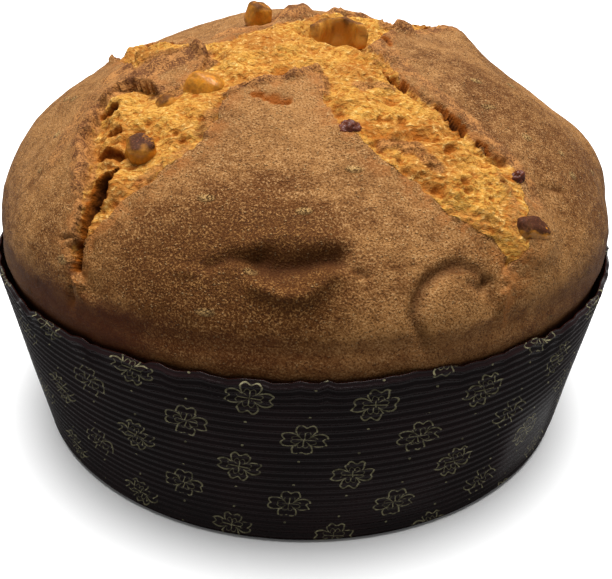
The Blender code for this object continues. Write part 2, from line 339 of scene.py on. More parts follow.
def object_from(bm, name):
    """Turn a bmesh into a smooth-shaded object in the scene."""
    mesh = bpy.data.meshes.new(name)
    bm.to_mesh(mesh)
    bm.free()
    mesh.shade_smooth()
    return add_object(name, mesh)


def read_vectors(items, field):
    values = np.zeros(len(items) * 3, np.float32)
    items.foreach_get(field, values)
    return values.reshape(-1, 3).astype(float)


def read_points(mesh):
    return read_vectors(mesh.vertices, "co")


def read_normals(mesh):
    return read_vectors(mesh.vertex_normals, "vector")


def write_points(mesh, points):
    mesh.vertices.foreach_set("co", points.astype(np.float32).ravel())
    mesh.update()


def paint(mesh, name, values):
    """Keep one value per point, for the materials."""
    layer = mesh.attributes.new(name, "FLOAT", "POINT")
    layer.data.foreach_set("value", values.astype(np.float32))


def hand_over(piece, slot, *nodes):
    """The piece rides with the loaf and stands for its CAD nodes, which are hidden; the slot is not
    used.
    """
    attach(piece, "root")
    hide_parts(*nodes)


# ---------------------------------------------------------------- loaf shape

GRID_CELLS = 200
CROWN_POWERS = (2.15, 1.75)
# From front to back, in mm, the crown tilts only between these two places
TILT_REACH = (-80.0, 60.0)
# Where the loaf draws in to pass the paper's rim, and how far forward it leans there, in mm
NECK_RADIUS = 106.0
NECK_HEIGHT = 67.0
NECK_SHIFT = 1.9
# How far into a flap the finer cells reach, in mm
REFINE_REACH = 3.0
PORE_COUNT = 260
PORE_RADII = (0.6, 1.7)
# Each piece of fruit: how far the crumb comes up it from its middle, as a share of its height;
# how brown its top has baked; how round syrup has made it; and how much crumb clings to its sides
FRUIT_LOOKS = {
    "candied_orange_1": (-0.25, 0.9, 0.15, 0.2), "candied_orange_2": (0.20, 0.35, 0.55, 0.2),
    "candied_orange_3": (0.22, 0.9, 0.4, 0.6), "candied_orange_4": (0.0, 1.25, 0.15, 0.2),
    "candied_orange_5": (-0.45, 0.9, 0.0, 1.0), "candied_orange_6": (0.36, 1.8, 0.3, 0.1),
    "candied_orange_7": (0.06, 0.7, 0.15, 0.2), "raisin_1": (0.30, 1.0, 0.0, 0.2),
    "raisin_2": (0.30, 1.0, 0.0, 0.2), "raisin_3": (0.06, 1.0, 0.0, 0.2),
    "raisin_4": (0.06, 1.0, 0.0, 0.2),
}


def crown_height(plan, loaf):
    """Height in mm of the smooth crown over places in plan."""
    first, second = CROWN_POWERS
    reach = np.clip(norm(plan, axis=1) / (loaf.radius / MM), 0.0, 1.0)
    top = loaf.crown / MM + loaf.tilt * np.clip(plan[:, 1], *TILT_REACH)
    rise = (1.0 - reach ** first) ** (1.0 / second)
    return loaf.equator / MM + (top - loaf.equator / MM) * rise


def round_grid(points, radius):
    """Bend a square grid from -1 to 1 into a disc whose rings close up towards the edge."""
    x, y = points[:, 0], points[:, 1]
    disc = np.stack([x * np.sqrt(1.0 - 0.5 * y * y), y * np.sqrt(1.0 - 0.5 * x * x)], axis=1)
    reach = norm(disc, axis=1)
    eased = np.sin(0.5 * np.pi * np.clip(reach, 0.0, 1.0))
    return disc * (radius * eased / np.maximum(reach, 1e-9))[:, None]


def side_rings(loaf):
    """(radius, height) in mm of the rings from the widest place down to the underside."""
    bottom = LOAF_LOW.z / MM
    inside = RIM_RADIUS - 2.6
    foot = inside - 8.0
    return (
        (loaf.radius / MM - 0.1, 73.5), (loaf.radius / MM - 0.3, 71.5), (NECK_RADIUS + 0.7, 69.0),
        (NECK_RADIUS, NECK_HEIGHT), (NECK_RADIUS - 0.5, 64.5), (NECK_RADIUS - 0.8, 61.0),
        (NECK_RADIUS - 1.2, 55.0), (inside - 4.0, 35.0), (foot, 12.0), (foot - 1.5, bottom + 2.0),
        (foot - 4.0, bottom), (foot - 40.0, bottom), (foot - 80.0, bottom),
    )


def crown_bmesh(loaf):
    """Closed loaf body: a domed grid, its edge drawn down into the mould, and a flat underside."""
    bm = bmesh.new()
    bmesh.ops.create_grid(bm, x_segments=GRID_CELLS, y_segments=GRID_CELLS, size=1.0)
    flat = np.array([vert.co for vert in bm.verts])
    plan = round_grid(flat, loaf.radius / MM)
    height = crown_height(plan, loaf)
    for vert, (x, y), z in zip(bm.verts, plan, height):
        vert.co = (x, y, z)
    edge = [item for item in bm.edges if item.is_boundary]
    for radius, level in side_rings(loaf):
        grown = bmesh.ops.extrude_edge_only(bm, edges=edge)["geom"]
        edge = [item for item in grown if isinstance(item, bmesh.types.BMEdge)]
        for vert in {vert for item in edge for vert in item.verts}:
            turn = np.arctan2(vert.co.y, vert.co.x)
            near_rim = ramp(50.0, 64.0, level) * ramp(74.0, 68.0, level)
            own = radius - NECK_SHIFT * near_rim * np.sin(turn)
            vert.co = (own * np.cos(turn), own * np.sin(turn), level)
    bmesh.ops.contextual_create(bm, geom=edge)
    bmesh.ops.recalc_face_normals(bm, faces=bm.faces)
    return bm


def refine_torn_top(bm):
    """Halve the cells of the open crumb and its torn edges, where the finest shapes are."""
    faces = [face for face in bm.faces if face.calc_center_median().z > 80.0]
    centres = np.array([face.calc_center_median().xy for face in faces])
    depth = np.max([flap_depth(centres, outline) for outline in FLAPS], axis=0)
    chosen = [face for face, value in zip(faces, depth) if value < REFINE_REACH]
    edges = list({edge for face in chosen for edge in face.edges})
    bmesh.ops.subdivide_edges(bm, edges=edges, cuts=1, use_grid_fill=True)


def torn_fields(points):
    """Per point: depth into the nearest flap, the flaps' lift, and how far the crumb drops."""
    place = points[:, :2] + wander(points, (11, 12), (1.3, 7.0, 0), (0.8, 2.2, 2))
    depths = np.array([flap_depth(place, outline) for outline in FLAPS])
    depth = depths.max(0)
    lift = np.zeros(len(points))
    drop = np.zeros(len(points))
    for own, height, reach, fall in zip(depths, FLAP_LIFTS, FLAP_REACHES, FLAP_DROPS):
        near = np.where(own > 0.0, np.exp(-own / reach), 0.0)
        lift = np.maximum(lift, height * near)
        under = ramp(0.2, -1.0, own) * bell(np.minimum(own, 0.0) / 5.0)
        drop = np.maximum(drop, fall * under)
    return depth, lift, drop


def plan_slope(points, step=0.6):
    """Direction in plan in which the depth into a flap grows."""
    values = []
    for axis in range(2):
        moved = points.copy()
        moved[:, axis] += step
        back = points.copy()
        back[:, axis] -= step
        values.append(torn_fields(moved)[0] - torn_fields(back)[0])
    slope = np.stack([*values, np.zeros(len(points))], axis=1)
    return slope / np.maximum(norm(slope, axis=1), 1e-6)[:, None]


def crumb_relief(points):
    """Torn lumps and strands of the open crumb, in mm."""
    turned = points @ np.array([[0.80, 0.60, 0.0], [-0.60, 0.80, 0.0], [0.0, 0.0, 1.0]])
    stretched = turned * np.array([0.7, 1.2, 1.0])
    drifted = stretched + 0.8 * soft_noise(points, 5.0, 20)[:, None]
    strands = 1.0 - 2.0 * np.abs(soft_noise(drifted, 3.0, 21))
    fine = 1.0 - 2.0 * np.abs(soft_noise(drifted, 1.5, 22))
    lumps = layered_noise(points, 8.0, 23, layers=2)
    return 1.7 * lumps + 0.55 * strands + 0.40 * fine + 0.34 * soft_noise(points, 1.0, 24)


def pore_relief(points, crumb):
    """Round bubbles of the crumb that the tear has opened."""
    rng = np.random.default_rng(31)
    choices = np.flatnonzero(crumb > 0.9)
    relief = np.zeros(len(points))
    for index in rng.choice(choices, PORE_COUNT, replace=False):
        radius = rng.uniform(*PORE_RADII)
        stretch = np.array([1.0, rng.uniform(1.0, 2.0), 1.0])
        gap = norm((points - points[index]) * stretch, axis=1) / radius
        near = gap < 1.0
        relief[near] = np.minimum(relief[near], -radius * 0.9 * np.sqrt(1.0 - gap[near] ** 2))
    return relief


def cave_relief(points):
    """Deep caves and crevices: their depth in mm, and how hidden from light each point is."""
    relief = np.zeros(len(points))
    hidden = np.zeros(len(points))
    plan = points[:, :2] + wander(points, (41, 42), (0.5, 2.6, 0), (0.5, 1.3, 2))
    for chain, depth in CAVES:
        chain = np.array(chain, float)
        gap, along = line_distance(plan, chain[:, :2])
        width = np.interp(along, np.arange(len(chain)), chain[:, 2])
        relief = np.minimum(relief, -depth * ramp(1.3, 0.45, gap / width))
        shade = ramp(1.75, 0.70, gap / width) * min(1.0, depth / 5.0)
        hidden = np.maximum(hidden, shade)
    return relief, hidden


def ridge_relief(points):
    """Ridges, lumps and strands of the torn top: their height in mm and their toasting."""
    relief = np.zeros(len(points))
    toast = np.zeros(len(points))
    plan = points[:, :2] + wander(points, (45, 46), (0.9, 3.5, 0))
    for chain, width, height, toasting in RIDGES:
        gap, _ = line_distance(plan, chain)
        relief += height * bell(gap / width)
        toast = np.maximum(toast, toasting * np.exp(-(gap / (1.25 * width)) ** 4))
    return relief, toast


def on_crown(line, loaf):
    """Lift a line in plan onto the smooth crown."""
    plan = np.array(line, float)
    return np.column_stack([plan, crown_height(plan, loaf)])


def mark_relief(points, loaf):
    """Dent, lip, blister, cracks and creases of the crust: height in mm, and painted shade in the sunken
    marks and round the blister's rim.
    """
    relief = np.zeros(len(points))
    shaded = np.zeros(len(points))
    drifted = points + 0.8 * soft_noise(points, 5.0, 52)[:, None]
    for line, width, height in CRUST_MARKS:
        gap, _ = line_distance(drifted, on_crown(line, loaf))
        relief += height * bell(gap / width)
        # Painted shade: sunken marks are painted darker, the deeper the darker.
        dark = min(1.0, max(0.0, -0.45 * height))
        shaded = np.maximum(shaded, dark * bell(gap / width))
    x, y, radius = BLISTER_PLACE
    centre = on_crown(((x, y),), loaf)[0]
    offset = points - centre
    wobble = 1.0 + 0.12 * soft_noise(points, 9.0, 51)
    gap = norm(offset, axis=1) / (radius * wobble)
    # The blister's rim sinks as a groove and carries painted shade, both strongest towards its upper
    # left.
    shade = np.clip(0.70 + 0.6 * (offset[:, 2] - 0.6 * offset[:, 0]) / radius, 0.15, 1.5)
    relief += 1.0 * np.clip(1.0 - gap ** 2, 0.0, 1.0) ** 0.7
    rim = shade * bell((gap - 1.0) / 0.13)
    return relief - 1.4 * rim, np.maximum(shaded, 0.75 * np.minimum(rim, 1.0))


def swell_relief(points):
    """Broad rises and hollows of the crown, in mm."""
    relief = np.zeros(len(points))
    for x, y, spread, height in SWELLS:
        gap = np.hypot(points[:, 0] - x, points[:, 1] - y) / spread
        relief += height * bell(gap)
    return relief


def crust_relief(points):
    """Uneven rise and fine grain of the baked skin, in mm."""
    return waves(points, (1.0, 40.0, 61), (0.5, 17.0, 62), (0.20, 6.5, 63), (0.10, 2.6, 64))


def fruit_seat(points, normals, offset):
    """Ease the surface towards the middle of each piece of fruit, so that it sits in the loaf."""
    for name in PEEL_NODES + RAISIN_NODES:
        low, high = (np.array(corner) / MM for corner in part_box(name))
        middle = 0.5 * (low + high)
        size = high - low
        radius = 0.5 * norm(size[:2])
        away = middle - points - offset
        rise = (away * normals).sum(1)
        gap = norm(away - rise[:, None] * normals, axis=1)
        gap = np.where(np.abs(rise) < 15.0, gap, np.inf)
        hold = 0.85 * ramp(radius + 3.5, radius * 0.6, gap)
        sink = FRUIT_LOOKS[name][0] * size[2]
        offset += normals * (hold * (rise + sink))[:, None]
    return offset


def baking_light_and_shade(points, loaf):
    """How much darker, or paler below 0, each part of the crust is painted: random baking tone, plus
    painted shade and painted light at the listed places.
    """
    baked = 0.25 * soft_noise(points, 24.0, 73)
    for x, y, spread, strength in BAKING_LIGHT_AND_SHADE:
        gap = norm(points - on_crown(((x, y),), loaf), axis=1)
        baked += strength * bell(gap / spread)
    return np.clip(baked, -1.0, 1.0)


def rim_stain_and_shade_places(points):
    """Dark band above the paper's rim, widest at the front left and at the right: partly a stain of the
    crust, partly painted shade where the crust meets the paper.
    """
    x, _, z = points.T
    left = ramp(-25.0, -50.0, x) * ramp(-104.0, -78.0, x)
    side = np.maximum(left, 0.6 * ramp(55.0, 80.0, x))
    seam = z + waves(points, (2.0, 9.0, 75), (1.8, 3.0, 76))
    return np.maximum(ramp(81.5, 75.5, seam) * side, 0.4 * ramp(78.0, 75.0, seam))


def sculpt_loaf(mesh, loaf):
    """Move the points of the smooth loaf into its torn and baked shape, and note what each is."""
    points = read_points(mesh)
    normals = read_normals(mesh)
    on_top = ramp(66.0, 74.0, points[:, 2])
    torn_top = ramp(76.0, 84.0, points[:, 2])
    depth, lift, drop = torn_fields(points)
    crumb = ramp(0.4, -0.8, depth) * torn_top
    edge = np.exp(-np.abs(depth) / 1.8) * torn_top
    hidden_relief, hidden = cave_relief(points)
    ridges, toast = ridge_relief(points)
    bulge = 1.2 * ramp(-1.0, -7.0, depth)
    pores = pore_relief(points, crumb) * (1.0 - edge) * (1.0 - hidden)
    inner = crumb * (crumb_relief(points) * (1.0 - 0.6 * hidden) + pores)
    marks, shaded = mark_relief(points, loaf)
    push = crust_relief(points) * (1.0 - 0.6 * crumb) + marks + swell_relief(points)
    push += torn_top * (lift - drop + bulge + ridges) + inner
    push += 0.5 * edge * soft_noise(points, 2.0, 71)
    push += toast * (0.6 * layered_noise(points, 2.2, 72) + 0.8 * soft_noise(points, 4.6, 74))
    offset = normals * (push * on_top)[:, None]
    lean = np.where(depth > 0.0, 1.0, -1.0) * np.exp(-np.abs(depth) / 1.2) * torn_top
    offset -= plan_slope(points) * (0.7 * lean * ramp(0.6, 2.0, lift + drop))[:, None]
    offset = fruit_seat(points, normals, offset)
    offset += normals * (hidden_relief * torn_top)[:, None]
    write_points(mesh, (points + offset) * MM)
    torn_edge = bell(depth / 2.2) * ramp(0.2, 2.2, lift + drop)
    high = crumb * ramp(1.3, 3.0, inner)
    # Painted shade: the crumb's hollows and opened bubbles are marked for a deep orange.
    pits = crumb * np.maximum(ramp(-0.2, -1.8, inner), ramp(-0.2, -0.9, pores))
    paint(mesh, "crumb", crumb)
    paint(mesh, "toast", np.maximum.reduce([toast, 0.75 * torn_edge, 0.45 * high]) * torn_top)
    paint(mesh, "pits", pits)
    paint(mesh, "hidden", hidden)
    paint(mesh, "shaded", shaded)
    # The baked mask: random baking tone, with painted shade and painted light at the listed places.
    paint(mesh, "baked", baking_light_and_shade(points, loaf))
    # Stain and painted shade above the paper's rim.
    paint(mesh, "rim_stain_and_shade", rim_stain_and_shade_places(points))
    edge_tint = bell(depth / 4.2) * torn_top
    for line in STREAKS:
        gap, _ = line_distance(points, on_crown(line, loaf))
        edge_tint = np.maximum(edge_tint, 0.9 * bell(gap / 3.2))
    paint(mesh, "edge", edge_tint)


# ---------------------------------------------------------------- paper shape

WALL_TURNS = 288
RIB_POINTS = 8
RIB_SHARPNESS = 2.6
INSIDE_POINTS = 2
# How much wider the wall is at its rim than at its foot, and how wide its folded edge is, in mm
WALL_FLARE = 9.2
FOLD_WIDTH = 15.0
FOLD_GAP = 0.3
# The print, in mm and degrees: rows' distance, top row's height, first flower's turn and lean
PRINT_ROWS = 27.4
PRINT_TOP = 58.6
PRINT_START = -7.1
PRINT_LEAN = 0.085
# How far the print is drawn out over the upper slope of each rib
PRINT_DRAW = 0.55
# A flower's cell is this wide in mm, and its height is drawn in by this much
FLOWER_PITCH = 33.0
FLOWER_SQUASH = 1.12


def wall_profile(paper):
    """(radius, height) in mm round the wall's cut edge: ribs outside, rim, ribs inside, fold."""
    base = RIM_RADIUS - WALL_FLARE
    fold = DISC_LOW.z / MM - FOLD_GAP
    pitch = (RIM_HEIGHT - fold) / paper.ribs
    deep = paper.rib_depth / MM
    thin = paper.thickness / MM

    def outer(height):
        """Radius of the wall's outer face: narrow crests with wide valleys between them."""
        wave = 0.5 - 0.5 * np.cos(2.0 * np.pi * (height - fold) / pitch)
        return base + WALL_FLARE * height / RIM_HEIGHT - deep * (1.0 - wave ** RIB_SHARPNESS)

    up = [fold + pitch * step / RIB_POINTS for step in range(paper.ribs * RIB_POINTS + 1)]
    down = [fold + pitch * step / INSIDE_POINTS for step in range(paper.ribs * INSIDE_POINTS + 1)]
    profile = [(base - FOLD_WIDTH, 0.0), (base - 2.2, 0.0), (base - 1.1, 0.15), (base - 0.7, 0.5)]
    profile += [(outer(height), height) for height in up]
    profile += [(outer(height) - thin, height) for height in reversed(down)]
    profile += [(base - FOLD_WIDTH, fold)]
    return profile


def make_wall(paper):
    """Turn the wall's cut edge about the loaf's axis."""
    bm = bmesh.new()
    verts = [bm.verts.new((0.0, radius, height)) for radius, height in wall_profile(paper)]
    edges = [bm.edges.new(pair) for pair in zip(verts, verts[1:] + verts[:1])]
    bmesh.ops.spin(
        bm, geom=verts + edges, cent=(0, 0, 0), axis=(0, 0, 1), angle=2.0 * np.pi,
        steps=WALL_TURNS, use_merge=True)
    bmesh.ops.remove_doubles(bm, verts=bm.verts, dist=1e-4)
    bmesh.ops.recalc_face_normals(bm, faces=bm.faces)
    return object_from(bm, "panettone_paper_wall")


def crest_radius(height):
    """Radius of the crests of the wall's ribs at a height, in mm."""
    return RIM_RADIUS - WALL_FLARE * (1.0 - height / RIM_HEIGHT)


def crumple_wall(mesh):
    """Wavy rim, nicks, squashed ribs and the glued lap at the back."""
    points = read_points(mesh)
    turn = np.arctan2(points[:, 0], -points[:, 1])
    radius = norm(points[:, :2], axis=1)
    level = points[:, 2] / RIM_HEIGHT
    mean = crest_radius(points[:, 2])
    ring = np.stack([60 * np.cos(turn), 60 * np.sin(turn), np.zeros_like(turn)], axis=1)
    upper = ramp(0.80, 1.0, level)
    body = ramp(0.02, 0.15, level)
    outside = radius > mean - 1.6
    squash = ramp(0.15, 0.75, soft_noise(ring * 1.2 + points * [0, 0, 0.5], 22.0, 81))
    squash = squash * ramp(0.75, 0.3, level)
    flat_radius = mean - 0.45
    radius = np.where(outside, radius + (flat_radius - radius) * 0.75 * squash * body, radius)
    radius += 0.35 * body * soft_noise(ring + points * [0, 0, 0.6], 14.0, 82)
    radius += upper * waves(ring, (0.45, 9.0, 83), (0.6, 2.4, 84))
    radius = np.minimum(radius, RIM_RADIUS + 0.8)
    lift = upper * (waves(ring, (0.5, 11.0, 85), (1.1, 1.8, 86)) - 0.4)
    notch = ramp(0.62, 0.9, soft_noise(ring, 2.2, 87))
    lift -= upper ** 6 * 0.9 * notch
    wobble = 0.25 * body * soft_noise(ring + points * [0, 0, 0.3], 30.0, 88)
    lap = ramp(np.pi - 0.11, np.pi - 0.095, turn) * outside * body
    radius += 0.45 * lap
    direction = np.stack([np.sin(turn), -np.cos(turn)], axis=1)
    points[:, :2] = direction * radius[:, None]
    points[:, 2] += np.where(level > 0.02, lift + wobble, 0.0)
    write_points(mesh, points * MM)
    paint(mesh, "inside", (~outside).astype(float))


def map_print(mesh, paper):
    """Lay the print's cells on the wall: one flower is one cell wide, the rows lean a little."""
    points = read_points(mesh) / MM
    turn = np.degrees(np.arctan2(points[:, 0], -points[:, 1]))
    corner = np.zeros(len(mesh.loops), np.int32)
    mesh.loops.foreach_get("vertex_index", corner)
    starts = np.zeros(len(mesh.polygons), np.int32)
    totals = np.zeros(len(mesh.polygons), np.int32)
    mesh.polygons.foreach_get("loop_start", starts)
    mesh.polygons.foreach_get("loop_total", totals)
    first = np.repeat(turn[corner[starts]], totals)
    own = first + (turn[corner] - first + 180.0) % 360.0 - 180.0
    height = points[corner, 2]
    cell = 360.0 / paper.flowers_round
    row_lean = 2.0 * PRINT_ROWS / 360.0
    across = (own - PRINT_LEAN * (height - PRINT_TOP) - PRINT_START) / cell
    sunk = crest_radius(height) - norm(points[corner, :2], axis=1)
    up = (height + PRINT_DRAW * sunk - PRINT_TOP + row_lean * own) / PRINT_ROWS
    layer = mesh.uv_layers.new(name="print")
    layer.data.foreach_set("uv", np.column_stack([across, up]).astype(np.float32).ravel())


def make_base():
    """Flat paper disc under the loaf."""
    bm = bmesh.new()
    radius = DISC_HIGH.x / MM
    low, high = DISC_LOW.z / MM, DISC_HIGH.z / MM
    bmesh.ops.create_circle(bm, cap_ends=True, radius=radius, segments=128)
    bmesh.ops.translate(bm, verts=bm.verts, vec=(0, 0, low))
    for _ in range(3):
        inner = max(bm.faces, key=lambda face: len(face.verts))
        bmesh.ops.inset_region(bm, faces=[inner], thickness=radius * 0.25, use_even_offset=True)
    grown = bmesh.ops.extrude_face_region(bm, geom=bm.faces[:])
    raised = [item for item in grown["geom"] if isinstance(item, bmesh.types.BMVert)]
    bmesh.ops.translate(bm, verts=raised, vec=(0, 0, high - low))
    bmesh.ops.recalc_face_normals(bm, faces=bm.faces)
    bmesh.ops.scale(bm, vec=(MM, MM, MM), verts=bm.verts)
    return object_from(bm, "panettone_paper_base")


# ---------------------------------------------------------------- fruit shapes

# How far the curled strip's middle rises and leans forward, in mm
CURL_RISE = 4.0
CURL_LEAN = 3.5


def fruit_from_node(name, cuts, rounding, roughness, seed):
    """A closer shape for one piece of fruit, grown from its CAD solid where it lies."""
    _, browning, swell, crumbs = FRUIT_LOOKS[name]
    bm = bmesh.new()
    bm.from_mesh(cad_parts[name].data)
    bmesh.ops.remove_doubles(bm, verts=bm.verts, dist=1e-5)
    bmesh.ops.scale(bm, vec=(1 / MM,) * 3, verts=bm.verts)
    bmesh.ops.subdivide_edges(bm, edges=bm.edges[:], cuts=cuts, use_grid_fill=True)
    for _ in range(rounding):
        bmesh.ops.smooth_vert(
            bm, verts=bm.verts, factor=0.5, use_axis_x=True, use_axis_y=True, use_axis_z=True)
    bmesh.ops.recalc_face_normals(bm, faces=bm.faces)
    piece = object_from(bm, "panettone_" + name)
    points = read_points(piece.data)
    points += wander(points, (seed + 3, seed + 4, seed + 5), (0.8, 5.5, 0))
    middle = points.mean(0)
    reach = norm(points - middle, axis=1)
    ball = middle + (points - middle) * (reach.mean() / np.maximum(reach, 1e-6))[:, None]
    points += swell * (ball - points)
    write_points(piece.data, points)
    normals = read_normals(piece.data)
    push = roughness * layered_noise(points, 3.0, seed, layers=3, fade=0.6)
    write_points(piece.data, (points + normals * push[:, None]) * MM)
    patchy = normals[:, 2] + 0.6 * soft_noise(points, 2.5, seed + 7)
    paint(piece.data, "browned", browning * ramp(0.0, 0.75, patchy))
    paint(piece.data, "crumbed", crumbs * ramp(0.9, 0.0, patchy))
    return piece


def hood_curl(piece):
    """Draw the middle of the curled strip up and over, and taper its two ends."""
    points = read_points(piece.data) / MM
    low, high = points.min(0), points.max(0)
    middle = 0.5 * (low + high)
    back = np.clip((points[:, 1] - low[1]) / (high[1] - low[1]), 0.0, 1.0)
    upper = np.clip((points[:, 2] - middle[2]) / (high[2] - middle[2]), 0.0, 1.0)
    arch = 1.0 - np.abs((points[:, 0] - middle[0] - 1.5) / (high[0] - middle[0])) ** 2.0
    points[:, 2] += upper * (CURL_RISE * back * np.clip(arch, -0.3, 1.0) - 2.0 * (1.0 - back))
    points[:, 1] -= upper * CURL_LEAN * back
    write_points(piece.data, points * MM)


def wrinkle_raisin(piece, seed):
    """Deep soft wrinkles of dried skin."""
    points = read_points(piece.data) / MM
    normals = read_normals(piece.data)
    folds = np.abs(soft_noise(points * [1.0, 1.6, 1.0], 1.7, seed))
    push = -0.7 * bell(folds / 0.16)
    write_points(piece.data, (points + normals * push[:, None]) * MM)


# ---------------------------------------------------------------- material recipes

class Recipe:
    """Adds nodes to a tree and joins them, so that a material reads as a list of steps."""

    def __init__(self, tree):
        self.tree = tree

    def put(self, socket, value):
        if isinstance(value, bpy.types.NodeSocket):
            self.tree.links.new(value, socket)
        elif socket.type == "RGBA":
            socket.default_value = (*value, 1.0)
        else:
            socket.default_value = value

    def node(self, kind, inputs=None, **settings):
        made = self.tree.nodes.new("ShaderNode" + kind)
        for name, value in settings.items():
            setattr(made, name, value)
        for name, value in (inputs or {}).items():
            self.put(made.inputs[name], value)
        return made

    def math(self, operation, first, second=0.0, third=0.0, clamp=False):
        made = self.node(
            "Math", {0: first, 1: second, 2: third}, operation=operation, use_clamp=clamp)
        return made.outputs[0]

    def plus(self, first, second, clamp=False):
        return self.math("ADD", first, second, clamp=clamp)

    def minus(self, first, second, clamp=False):
        return self.math("SUBTRACT", first, second, clamp=clamp)

    def times(self, first, second, clamp=False):
        return self.math("MULTIPLY", first, second, clamp=clamp)

    def below(self, value, limit):
        return self.math("LESS_THAN", value, limit)

    def hypot(self, first, second):
        return self.math("SQRT", self.plus(self.times(first, first), self.times(second, second)))

    def mix(self, share, first, second):
        return self.node("Mix", {0: share, 6: first, 7: second}, data_type="RGBA").outputs[2]

    def layers(self, colour, *coats):
        """Lay tints over a colour: each coat is a mask, its strength and a tint."""
        for mask, strength, tint in coats:
            colour = self.mix(self.times(mask, strength), colour, tint)
        return colour

    def noise(self, place, scale, detail=3.0, roughness=0.55, warp=0.0):
        made = self.node("TexNoise", {
            "Vector": place, "Scale": scale, "Detail": detail, "Roughness": roughness,
            "Distortion": warp})
        return made.outputs["Fac"]

    def range(self, value, low, high, to_low=0.0, to_high=1.0):
        made = self.node(
            "MapRange", {0: value, 1: low, 2: high, 3: to_low, 4: to_high},
            interpolation_type="SMOOTHSTEP")
        return made.outputs[0]

    def attribute(self, name):
        return self.node("Attribute", attribute_name=name).outputs["Fac"]

    def place(self):
        return self.node("TexCoord").outputs["Object"]

    def stretch(self, vector, scale):
        return self.node("Mapping", {"Vector": vector, "Scale": scale}).outputs[0]

    def bump(self, height, strength, distance):
        made = self.node("Bump", {"Height": height, "Strength": strength, "Distance": distance})
        return made.outputs[0]

    def group(self, tree, **inputs):
        return self.node("Group", inputs, node_tree=tree).outputs


def new_group(name, takes, gives):
    """An empty node group, its recipe, input and output. A socket with no default is a vector."""
    tree = bpy.data.node_groups.new(name, "ShaderNodeTree")
    for label, default in takes.items():
        kind = "NodeSocketVector" if default is None else "NodeSocketFloat"
        socket = tree.interface.new_socket(label, in_out="INPUT", socket_type=kind)
        if default is not None:
            socket.default_value = default
    for label in gives:
        tree.interface.new_socket(label, in_out="OUTPUT", socket_type="NodeSocketFloat")
    source = tree.nodes.new("NodeGroupInput").outputs
    target = tree.nodes.new("NodeGroupOutput").inputs
    return tree, Recipe(tree), source, target


def speckle_group():
    """Scattered round specks: a share of the cells of a fine web carries one."""
    tree, recipe, source, target = new_group(
        "Speckle", {"Vector": None, "Scale": 500.0, "Share": 0.3, "Size": 0.3}, ["Mask"])
    cells = recipe.node("TexVoronoi", {"Vector": source["Vector"], "Scale": source["Scale"]})
    pick = recipe.node("SeparateColor", {"Color": cells.outputs["Color"]}).outputs[0]
    size = recipe.times(source["Size"], recipe.plus(pick, 0.6))
    core = recipe.minus(1.0, recipe.math("DIVIDE", cells.outputs["Distance"], size), clamp=True)
    chosen = recipe.below(pick, source["Share"])
    recipe.put(target["Mask"], recipe.times(chosen, recipe.math("POWER", core, 0.6)))
    return tree


def grain_group():
    """Uneven tone at three sizes, for baked and dried surfaces."""
    tree, recipe, source, target = new_group(
        "Grain", {"Vector": None, "Broad": 30.0, "Fine": 900.0}, ["Tone", "Fine Tone", "Height"])
    broad = recipe.noise(source["Vector"], source["Broad"])
    middle = recipe.noise(source["Vector"], recipe.times(source["Broad"], 6.0))
    fine = recipe.noise(source["Vector"], source["Fine"], 3.0, 0.65)
    recipe.put(target["Tone"], recipe.plus(recipe.times(broad, 0.6), recipe.times(middle, 0.4)))
    recipe.put(target["Fine Tone"], fine)
    recipe.put(target["Height"], recipe.plus(recipe.times(middle, 0.8), fine))
    return tree


def flower_group():
    """Thin outline of a four-petalled flower with notched petals, inner rays and two dots."""
    tree, recipe, source, target = new_group(
        "Flower Outline", {"X": 0.0, "Y": 0.0, "Radius": 7.0, "Line": 0.4}, ["Mask"])
    radius, line = source["Radius"], source["Line"]
    x = recipe.math("ABSOLUTE", source["X"])
    y = recipe.math("ABSOLUTE", source["Y"])
    reach = recipe.hypot(x, y)
    turn = recipe.math("ARCTAN2", y, x)
    lobe = recipe.math("ABSOLUTE", recipe.math("COSINE", recipe.times(turn, 2.0)))
    notch = recipe.times(recipe.math("POWER", lobe, 14.0), 0.24)
    shape = recipe.times(recipe.math("POWER", lobe, 0.36), recipe.minus(1.0, notch))
    edge = recipe.times(shape, radius)
    gap = recipe.math("ABSOLUTE", recipe.minus(reach, edge))
    steep = recipe.plus(1.0, recipe.times(recipe.math("POWER", recipe.minus(1.0, lobe), 3.0), 3.5))
    outline = recipe.below(recipe.math("DIVIDE", gap, steep), line)
    thin = recipe.times(line, 0.6)
    inner_gap = recipe.math("ABSOLUTE", recipe.minus(reach, recipe.times(edge, 0.56)))
    inner = recipe.times(recipe.below(inner_gap, thin), 0.55)
    short = recipe.below(reach, recipe.times(radius, 0.42))
    rays = recipe.times(short, recipe.below(recipe.math("MINIMUM", x, y), thin))
    dot = recipe.hypot(x, recipe.minus(y, recipe.times(radius, 1.42)))
    dots = recipe.below(dot, recipe.times(line, 1.5))
    mask = outline
    for part in (dots, inner, rays):
        mask = recipe.math("MAXIMUM", mask, part)
    recipe.put(target["Mask"], mask)
    return tree


class MaterialRecipe(Recipe):
    """The recipe of a new material."""

    def __init__(self, name):
        self.material = bpy.data.materials.new(name)
        self.material.use_nodes = True
        super().__init__(self.material.node_tree)

    def finish(self, values):
        """Give the shader its colours, masks and constants."""
        shader = self.tree.nodes["Principled BSDF"]
        for label, value in values.items():
            self.put(shader.inputs[label], value)
        return self.material


